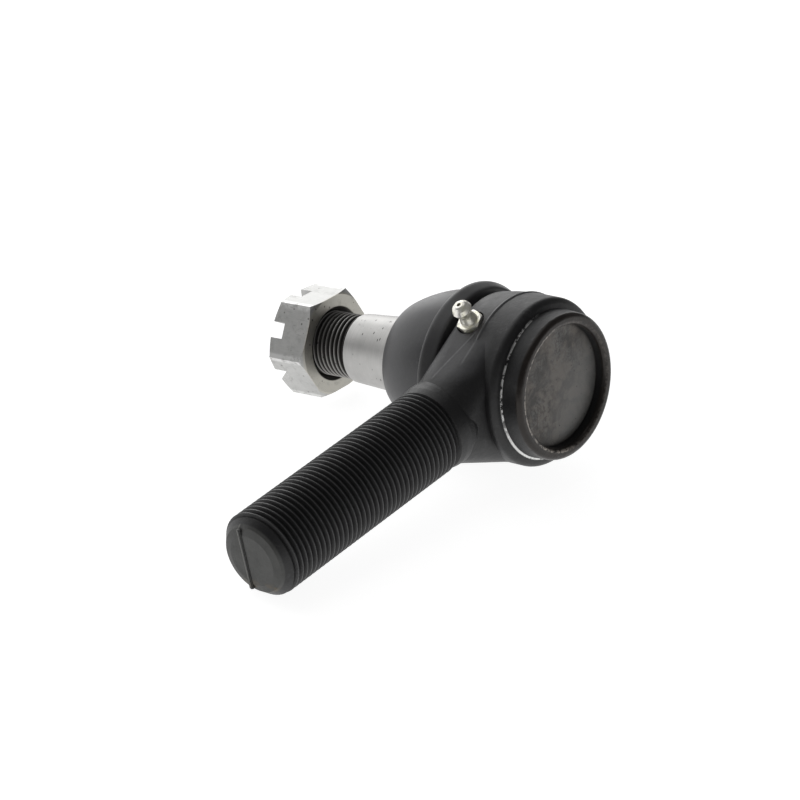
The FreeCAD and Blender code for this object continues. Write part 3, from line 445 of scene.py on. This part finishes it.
def hidden_steel(name, tone, rough_low, rough_high):
    """Ground or drawn steel of the pieces inside the socket."""
    f = Finish(name, metallic=1.0)
    rings = f.noise(0.5, 3, 0.6, f.turned((0, 0, 0), (0.05, 3.0, 0.05)))
    cloud = f.noise(4, 4)
    steel = f.shade(tone, rings.spread(0.85, 1.12) * cloud.spread(0.8, 1.15))
    return f.set(base_color=steel, roughness=rings.spread(rough_low, rough_high),
                 normal=f.bump(rings, 0.008))


def moulded_rubber(name, tone, bloom, rough_low, rough_high, foot=-1.0):
    """Moulded rubber: a satin skin with faint bloom and dust, and painted shade below its foot."""
    f = Finish(name, fixed={"Specular IOR Level": 0.45})
    cloud = f.noise(9, 4, 0.6)
    skin = f.noise(0.45, 3, 0.6)
    dust = f.noise(1.6, 5, 0.7).above(0.60, 0.18)
    rubber = f.shade(tone, cloud.spread(0.8, 1.3) * skin.spread(0.9, 1.1))
    rubber = f.mix(dust * 0.35, rubber, bloom)
    # Darker below the foot, where the boot meets its ring: painted shade.
    grime_and_shade = f.y.below(foot + 0.5, 1.0)
    rubber = f.mix(grime_and_shade * 0.8, rubber, (0.008, 0.008, 0.008))
    rough = cloud.spread(rough_low, rough_high) + dust * 0.08 + grime_and_shade * 0.3
    height = f.bump(f.noise(5, 3), 0.05)
    height = f.bump(skin, 0.012, height)
    return f.set(base_color=rubber, roughness=rough, normal=height)


# ---------------------------------------------------------------- modelling

def start_ring(name, radius, level, points):
    """A bare ring of edges about the Y axis, opened in edit mode."""
    bpy.ops.object.select_all(action="DESELECT")
    bpy.ops.mesh.primitive_circle_add(
        vertices=points, radius=radius, fill_type="NOTHING",
        location=(0, level, 0), rotation=(math.radians(90), 0, 0))
    ring = bpy.context.object
    ring.name = name
    bpy.ops.object.transform_apply(location=True, rotation=True, scale=True)
    bpy.ops.object.mode_set(mode="EDIT")
    bpy.ops.mesh.select_mode(type="EDGE")
    bpy.ops.mesh.select_all(action="SELECT")
    return ring


def pull_ring(centre, radius, turn, new_centre, new_radius, new_turn):
    """Extrude the selected ring to a new centre, radius and turn about Z."""
    bpy.ops.mesh.extrude_region_move(
        TRANSFORM_OT_translate={"value": new_centre - centre})
    scale = new_radius / radius
    bpy.ops.transform.resize(value=(scale, scale, scale), center_override=new_centre)
    if abs(new_turn - turn) > SMALLEST_TURN:
        bpy.ops.transform.rotate(value=turn - new_turn, orient_axis="Z",
                                 center_override=new_centre)


def sweep_shell(name, stations, points):
    """A closed shell of rings; the last ring runs back into the first."""
    centre, radius, turn = stations[0]
    shell = start_ring(name, radius, centre.y, points)
    for station in stations[1:] + stations[:1]:
        pull_ring(centre, radius, turn, *station)
        centre, radius, turn = station
    bpy.ops.mesh.select_all(action="SELECT")
    bpy.ops.mesh.remove_doubles(threshold=MERGE_GAP)
    bpy.ops.mesh.normals_make_consistent(inside=False)
    bpy.ops.object.mode_set(mode="OBJECT")
    return shell


def smooth_shell(shell, levels):
    """Round a shell with an applied subdivision and smooth shading."""
    rounding = shell.modifiers.new("rounding", "SUBSURF")
    rounding.levels = rounding.render_levels = levels
    bpy.ops.object.modifier_apply(modifier=rounding.name)
    bpy.ops.object.shade_smooth()


def station(share, radius, base_y, top):
    """(centre, radius, turn) of a ring of the boot, a share of the way from base to top."""
    turn = STUD_LEAN * min(1.0, share)
    start, end = Vector((0, base_y, 0)), STUD_AXIS * top
    handle = (top - base_y) / 3
    p0, p1, p2, p3 = start, start + Vector((0, handle, 0)), end - STUD_AXIS * handle, end
    u = share
    centre = (p0 * (1 - u) ** 3 + p1 * 3 * u * (1 - u) ** 2
              + p2 * 3 * u * u * (1 - u) + p3 * u ** 3)
    return centre, radius, turn


def wind_coil(name, radius, wire, length, turns):
    """A coil spring about the Z axis, centred on the origin, with closed ends."""
    bpy.ops.object.select_all(action="DESELECT")
    bpy.ops.mesh.primitive_circle_add(vertices=WIRE_SEGMENTS, radius=wire, fill_type="NOTHING",
                                      location=(radius, 0, 0),
                                      rotation=(math.radians(90), 0, 0))
    coil = bpy.context.object
    coil.name = name
    bpy.ops.object.transform_apply(location=True, rotation=True, scale=True)
    winding = coil.modifiers.new("winding", "SCREW")
    winding.axis = "Z"
    winding.angle = math.tau * turns
    winding.screw_offset = length
    winding.iterations = 1
    winding.steps = winding.render_steps = round(STEPS_PER_TURN * turns)
    bpy.ops.object.modifier_apply(modifier=winding.name)
    bpy.ops.object.mode_set(mode="EDIT")
    bpy.ops.mesh.select_all(action="DESELECT")
    bpy.ops.mesh.select_mode(type="EDGE")
    bpy.ops.mesh.select_non_manifold()
    bpy.ops.mesh.edge_face_add()
    bpy.ops.mesh.select_all(action="SELECT")
    bpy.ops.mesh.normals_make_consistent(inside=False)
    bpy.ops.object.mode_set(mode="OBJECT")
    coil.data.transform(Matrix.Translation((0, 0, -length / 2)))
    bpy.ops.object.shade_smooth()
    return coil


# ---------------------------------------------------------------- settings

class FinishColours(bpy.types.PropertyGroup):
    """Colours of the finishes."""
    paint: bpy.props.FloatVectorProperty(
        name="Paint", description="Black paint of the forging", subtype="COLOR",
        default=(0.0060, 0.0060, 0.0066), min=0, max=1)
    rubbed_paint: bpy.props.FloatVectorProperty(
        name="Rubbed paint", description="Paint worn along edges and thread crests",
        subtype="COLOR", default=(0.048, 0.048, 0.050), min=0, max=1)
    bare_steel: bpy.props.FloatVectorProperty(
        name="Bare steel", description="Ground steel of the stud", subtype="COLOR",
        default=(0.50, 0.495, 0.485), min=0, max=1)
    nut_steel: bpy.props.FloatVectorProperty(
        name="Nut steel", description="Brushed steel of the nut", subtype="COLOR",
        default=(0.50, 0.50, 0.49), min=0, max=1)
    cover_dark: bpy.props.FloatVectorProperty(
        name="Cover, dark", description="Oily steel of the cover", subtype="COLOR",
        default=(0.038, 0.035, 0.032), min=0, max=1)
    cover_brown: bpy.props.FloatVectorProperty(
        name="Cover, brown", description="Brown mottling of the cover", subtype="COLOR",
        default=(0.135, 0.120, 0.105), min=0, max=1)
    zinc: bpy.props.FloatVectorProperty(
        name="Zinc", description="Plating of the grease fitting", subtype="COLOR",
        default=(0.93, 0.91, 0.87), min=0, max=1)
    zinc_warm: bpy.props.FloatVectorProperty(
        name="Zinc, warm", description="Warm cast of that plating", subtype="COLOR",
        default=(0.84, 0.82, 0.68), min=0, max=1)
    rubber: bpy.props.FloatVectorProperty(
        name="Rubber", description="Moulded dust boot", subtype="COLOR",
        default=(0.052, 0.052, 0.055), min=0, max=1)
    ring_rubber: bpy.props.FloatVectorProperty(
        name="Ring rubber", description="Ring under the dust boot", subtype="COLOR",
        default=(0.060, 0.060, 0.062), min=0, max=1)


class BootSizes(bpy.types.PropertyGroup):
    """Sizes of the dust boot."""
    base_radius: bpy.props.FloatProperty(
        name="Base radius", description="Outer radius where the boot meets its ring",
        default=25.6 * MM, min=0.020, max=0.027, unit="LENGTH")
    wall: bpy.props.FloatProperty(
        name="Wall", description="Thickness of the boot's wall",
        default=2.3 * MM, min=0.001, max=0.004, unit="LENGTH")
    top: bpy.props.FloatProperty(
        name="Top", description="Distance of the boot's top from the ball centre",
        default=38.4 * MM, min=0.034, max=0.0385, unit="LENGTH")


class StageSettings(bpy.types.PropertyGroup):
    """Floor and light of the studio."""
    floor: bpy.props.FloatVectorProperty(
        name="Floor", description="Colour of the floor", subtype="COLOR",
        default=(0.40, 0.40, 0.40), min=0, max=1)
    sky: bpy.props.FloatProperty(
        name="Surround", description="Brightness of the white surround", default=1.0, min=0)
    room: bpy.props.FloatProperty(
        name="Room", description="Strength of the even light all round", default=0.14, min=0)
    overhead: bpy.props.FloatProperty(
        name="Overhead light", description="Power of the softbox overhead",
        default=1.8, min=0, unit="POWER")
    rear: bpy.props.FloatProperty(
        name="Rear light", description="Power of the softbox behind the part",
        default=10.0, min=0, unit="POWER")
    side: bpy.props.FloatProperty(
        name="Side light", description="Power of the softbox beside the nut",
        default=0.8, min=0, unit="POWER")
    far: bpy.props.FloatProperty(
        name="Far light", description="Power of the softbox behind the socket",
        default=2.9, min=0, unit="POWER")


SETTINGS = {"tie_rod_colours": FinishColours, "tie_rod_boot": BootSizes,
            "tie_rod_stage": StageSettings}


# ---------------------------------------------------------------- operators

class TIEROD_OT_socket(bpy.types.Operator):
    """Give the forged socket and its cover their finishes."""
    bl_idname = "tierod.socket"
    bl_label = "Socket and cover"

    def execute(self, context):
        colours = context.scene.tie_rod_colours
        dress("socket_housing", painted_forging(colours))
        dress("cover_plate", stained_cover(colours))
        return {"FINISHED"}


class TIEROD_OT_stud(bpy.types.Operator):
    """Give the ball stud and its slotted nut their finishes."""
    bl_idname = "tierod.stud"
    bl_label = "Stud and nut"

    def execute(self, context):
        colours = context.scene.tie_rod_colours
        dress("ball_stud", ground_stud(colours))
        dress("castle_nut", brushed_nut(colours))
        return {"FINISHED"}


class TIEROD_OT_fitting(bpy.types.Operator):
    """Give the grease fitting and its check parts their finishes."""
    bl_idname = "tierod.fitting"
    bl_label = "Grease fitting"

    def execute(self, context):
        colours = context.scene.tie_rod_colours
        dress("grease_fitting_body", plated_fitting(colours))
        dress("grease_check_ball",
              hidden_steel("check_ball_steel", (0.66, 0.66, 0.65), 0.1, 0.2))
        return {"FINISHED"}


class TIEROD_OT_bearings(bpy.types.Operator):
    """Give the bearings inside the socket their finishes."""
    bl_idname = "tierod.bearings"
    bl_label = "Bearings"

    def execute(self, context):
        dress("upper_bearing", hidden_steel("upper_bearing_steel", (0.42, 0.41, 0.39), 0.25, 0.4))
        dress("pressure_seat", hidden_steel("seat_steel", (0.38, 0.37, 0.36), 0.3, 0.45))
        return {"FINISHED"}


class TIEROD_OT_springs(bpy.types.Operator):
    """Model the disc spring under the seat and the coil under the check ball."""
    bl_idname = "tierod.springs"
    bl_label = "Springs"

    def execute(self, context):
        low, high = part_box("disc_spring")
        outer, bore, thick, edge = high.x, 9.5 * MM, 1.25 * MM, 0.12 * MM
        profile = [
            (low.y + edge, outer), (low.y + thick - edge, outer), (low.y + thick, outer - edge),
            (high.y, bore + edge), (high.y - edge, bore), (high.y - thick + edge, bore),
            (high.y - thick, bore + edge), (low.y, outer - edge)]
        rings = [(Vector((0, level, 0)), radius, 0.0) for level, radius in profile]
        disc = sweep_shell("disc_spring_washer", rings, SPRING_SEGMENTS)
        bpy.ops.object.shade_smooth_by_angle(angle=math.radians(30))
        disc.data.materials.append(
            hidden_steel("disc_spring_steel", (0.25, 0.25, 0.27), 0.25, 0.4))
        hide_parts("disc_spring")
        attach(disc, "socket")
        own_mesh(disc)

        low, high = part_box("grease_check_spring")
        coil = wind_coil("grease_check_coil", COIL_RADIUS, COIL_WIRE, COIL_LENGTH, COIL_TURNS)
        middle = (low + high) / 2
        coil.data.transform(Matrix.Translation(middle)
                            @ FITTING_AXIS.to_track_quat("Z", "Y").to_matrix().to_4x4())
        coil.data.materials.append(
            hidden_steel("check_spring_wire", (0.5, 0.5, 0.49), 0.2, 0.35))
        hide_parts("grease_check_spring")
        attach(coil, "socket")
        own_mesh(coil)
        return {"FINISHED"}


class TIEROD_OT_boot(bpy.types.Operator):
    """Model the moulded dust boot, from its base ring to its seal on the stud."""
    bl_idname = "tierod.boot"
    bl_label = "Dust boot"

    def execute(self, context):
        colours, sizes = context.scene.tie_rod_colours, context.scene.tie_rod_boot
        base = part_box("dust_boot")[0].y + 0.02 * MM
        top = sizes.top
        bore = 13.36 * MM
        rad, wall = sizes.base_radius, sizes.wall
        profile = [
            (0.0, rad - 1.0 * MM), (0.0, rad - 0.15 * MM), (0.012, rad),
            (0.08, rad + 0.02 * MM),
            (0.24, 25.35 * MM), (0.42, 24.5 * MM), (0.59, 23.2 * MM), (0.74, 21.7 * MM),
            (0.86, 20.2 * MM), (0.945, 18.9 * MM), (0.985, 17.8 * MM), (1.0, 16.6 * MM),
            (1.0, 14.6 * MM), (0.995, 13.9 * MM), (0.97, bore), (0.93, bore)]
        stations = [station(share, radius, base, top) for share, radius in profile]
        sleeve = [(33.0, bore), (28.8, bore), (28.6, 13.9 * MM), (28.6, 15.1 * MM),
                  (28.8, 15.5 * MM), (32.0, 15.5 * MM), (34.0, 15.7 * MM), (35.2, 16.6 * MM),
                  (34.6, 17.6 * MM)]
        for level, radius in sleeve:
            stations.append((STUD_AXIS * level * MM, radius, STUD_LEAN))
        for share, radius in ((0.80, 20.9), (0.70, 22.1), (0.55, 23.5), (0.38, 24.8),
                              (0.2, 25.45)):
            stations.append(station(share, radius * MM - wall, base, top))
        stations.append(station(0.03, rad - wall, base, top))
        stations.append(station(0.0, rad - wall + 0.1 * MM, base, top))
        boot = sweep_shell("dust_boot_moulding", stations, RUBBER_SEGMENTS)
        smooth_shell(boot, 2)
        boot.data.materials.append(moulded_rubber(
            "boot_rubber_skin", tuple(colours.rubber), (0.09, 0.09, 0.09), 0.34, 0.44,
            base / MM))
        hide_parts("dust_boot")
        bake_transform(boot)
        return {"FINISHED"}


class TIEROD_OT_boot_ring(bpy.types.Operator):
    """Model the thick ring that the dust boot sits on."""
    bl_idname = "tierod.boot_ring"
    bl_label = "Boot ring"

    def execute(self, context):
        colours = context.scene.tie_rod_colours
        low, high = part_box("boot_seal_ring")
        outer = high.x
        bore = 21.62 * MM
        profile = [
            (low.y, bore + 0.2 * MM), (low.y, 23.3 * MM), (low.y + 0.3 * MM, 23.6 * MM),
            (8.1 * MM, 23.6 * MM), (8.55 * MM, 24.0 * MM), (8.6 * MM, 26.9 * MM),
            (8.9 * MM, 27.5 * MM), (10.5 * MM, 28.05 * MM), (12.3 * MM, outer - 0.15 * MM),
            (13.1 * MM, outer), (13.85 * MM, outer - 0.12 * MM),
            (high.y - 0.04 * MM, outer - 0.4 * MM), (high.y, outer - 1.0 * MM),
            (high.y, bore + 1.2 * MM), (high.y - 0.2 * MM, bore + 0.3 * MM),
            (high.y - 0.6 * MM, bore), (low.y + 0.4 * MM, bore)]
        rings = [(Vector((0, level, 0)), radius, 0.0) for level, radius in profile]
        ring = sweep_shell("boot_base_ring", rings, RUBBER_SEGMENTS)
        smooth_shell(ring, 2)
        ring.data.materials.append(moulded_rubber(
            "ring_rubber_skin", tuple(colours.ring_rubber), (0.05, 0.05, 0.05), 0.30, 0.44))
        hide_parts("boot_seal_ring")
        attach(ring, "boot_swivel")
        dress("boot_neck_ring", hidden_steel("neck_ring_wire", (0.5, 0.5, 0.5), 0.2, 0.35))
        return {"FINISHED"}


# The plane that the lying part rests on, and the camera, in metres.
FLOOR_NORMAL = Vector((0.13544, -0.15287, 0.97892)).normalized()
FLOOR_GAP = 0.05 * MM
FLOOR_SIZE = 12.0
CAMERA_PLACE = Vector((-0.671024, -0.633981, 0.470908))
CAMERA_RIGHT = Vector((0.63456669, -0.75128346, -0.1813788))
CAMERA_UP = Vector((0.4578327, 0.17633329, 0.8713758))
CAMERA_BACK = Vector((-0.62266711, -0.63598721, 0.45585737))
CAMERA_LENS, CAMERA_SENSOR, CAMERA_NEAR = 141.69, 36.0, 0.01

# Each softbox's side, place and aim, in metres. Its power is the stage setting of its name.
SOFTBOXES = {
    "overhead": (0.8, (0.10, 0.25, 0.95), (0, 0, 0)),
    "rear": (1.7, (0.15, 1.05, 0.45), (0, 0, 0.05)),
    "side": (0.7, (-0.95, 0.60, 0.10), (0, 0.05, 0)),
    "far": (0.8, (0.85, 0.80, 0.45), (0, 0, 0)),
}


def floor_level():
    """How far along the floor's normal the part's lowest point is."""
    return min(v.co.dot(FLOOR_NORMAL)
               for node in frame["nodes"].values() for v in node.data.vertices)


def soft_light(name, size, power, place, aim):
    """A large square light that doesn't show in the picture."""
    bpy.ops.object.light_add(type="AREA", location=place)
    light = bpy.context.object
    light.name = name
    light.data.shape = "SQUARE"
    light.data.size = size
    light.data.energy = power
    light.rotation_mode = "QUATERNION"
    light.rotation_quaternion = (Vector(aim) - Vector(place)).to_track_quat("-Z", "Y")
    light.visible_camera = False
    return light


def floor_paper(tone):
    """White paper lit from below, as on a light table."""
    f = Finish("floor_paper", fixed={"Roughness": 0.95, "Specular IOR Level": 0.0,
                                     "Emission Strength": 0.92, "Emission Color": (1, 1, 1, 1)})
    f.set(base_color=f.shade(tone, f.noise(60, 2).spread(0.97, 1.0)))
    return f.material


def studio_sky(seen, room):
    """A white surround to look at, in a room that gives the part a dimmer light."""
    world = bpy.data.worlds.new("studio_sky")
    world.use_nodes = True
    tree = world.node_tree
    sky = tree.nodes["Background"]
    sky.inputs["Color"].default_value = (1, 1, 1, 1)
    path = tree.nodes.new("ShaderNodeLightPath")
    level = tree.nodes.new("ShaderNodeMapRange")
    level.inputs["To Min"].default_value = room
    level.inputs["To Max"].default_value = seen
    tree.links.new(path.outputs["Is Camera Ray"], level.inputs["Value"])
    tree.links.new(level.outputs[0], sky.inputs["Strength"])
    return world


class TIEROD_OT_stage(bpy.types.Operator):
    """Lay the floor that the part rests on, and set the light and the camera."""
    bl_idname = "tierod.stage"
    bl_label = "Floor, light and camera"

    def execute(self, context):
        stage = context.scene.tie_rod_stage
        bpy.ops.object.select_all(action="DESELECT")
        bpy.ops.mesh.primitive_plane_add(size=FLOOR_SIZE)
        floor = context.object
        floor.name = "studio_floor"
        turn = FLOOR_NORMAL.to_track_quat("Z", "Y").to_matrix().to_4x4()
        level = floor_level() - FLOOR_GAP
        floor.data.transform(Matrix.Translation(FLOOR_NORMAL * level) @ turn)
        floor.data.materials.append(floor_paper(tuple(stage.floor)))
        context.scene.world = studio_sky(stage.sky, stage.room)
        for name, (size, place, aim) in SOFTBOXES.items():
            soft_light(name + "_softbox", size, getattr(stage, name), place, aim)
        context.scene.view_settings.view_transform = "Standard"

        bpy.ops.object.camera_add()
        camera = context.object
        camera.name = "studio_camera"
        camera.data.sensor_width = CAMERA_SENSOR
        camera.data.lens = CAMERA_LENS
        camera.data.clip_start = CAMERA_NEAR
        columns = (CAMERA_RIGHT, CAMERA_UP, CAMERA_BACK)
        camera.matrix_world = (Matrix.Translation(CAMERA_PLACE)
                               @ Matrix(columns).transposed().to_4x4())
        context.scene.camera = camera
        return {"FINISHED"}


STEPS = (TIEROD_OT_socket, TIEROD_OT_stud, TIEROD_OT_fitting, TIEROD_OT_bearings,
         TIEROD_OT_springs, TIEROD_OT_boot, TIEROD_OT_boot_ring, TIEROD_OT_stage)


class TIEROD_PT_sidebar(bpy.types.Panel):
    """The tie rod end's steps and settings."""
    bl_idname = "TIEROD_PT_sidebar"
    bl_label = "Tie rod end"
    bl_space_type = "VIEW_3D"
    bl_region_type = "UI"
    bl_category = "Tie rod end"

    def draw(self, context):
        for step in STEPS:
            self.layout.operator(step.bl_idname)
        for name, group in SETTINGS.items():
            box = self.layout.box()
            for key in group.__annotations__:
                box.prop(getattr(context.scene, name), key)


CLASSES = (*SETTINGS.values(), *STEPS, TIEROD_PT_sidebar)


def register():
    """Make the settings, the operators and the panel known to Blender."""
    for item in CLASSES:
        bpy.utils.register_class(item)
    for name, group in SETTINGS.items():
        setattr(bpy.types.Scene, name, bpy.props.PointerProperty(type=group))


def unregister():
    """Take them away again."""
    for name in SETTINGS:
        delattr(bpy.types.Scene, name)
    for item in reversed(CLASSES):
        bpy.utils.unregister_class(item)


def main():
    """Run every step in order."""
    register()
    for step in STEPS:
        area, action = step.bl_idname.split(".")
        getattr(getattr(bpy.ops, area), action)()


if __name__ == "__main__":
    main()
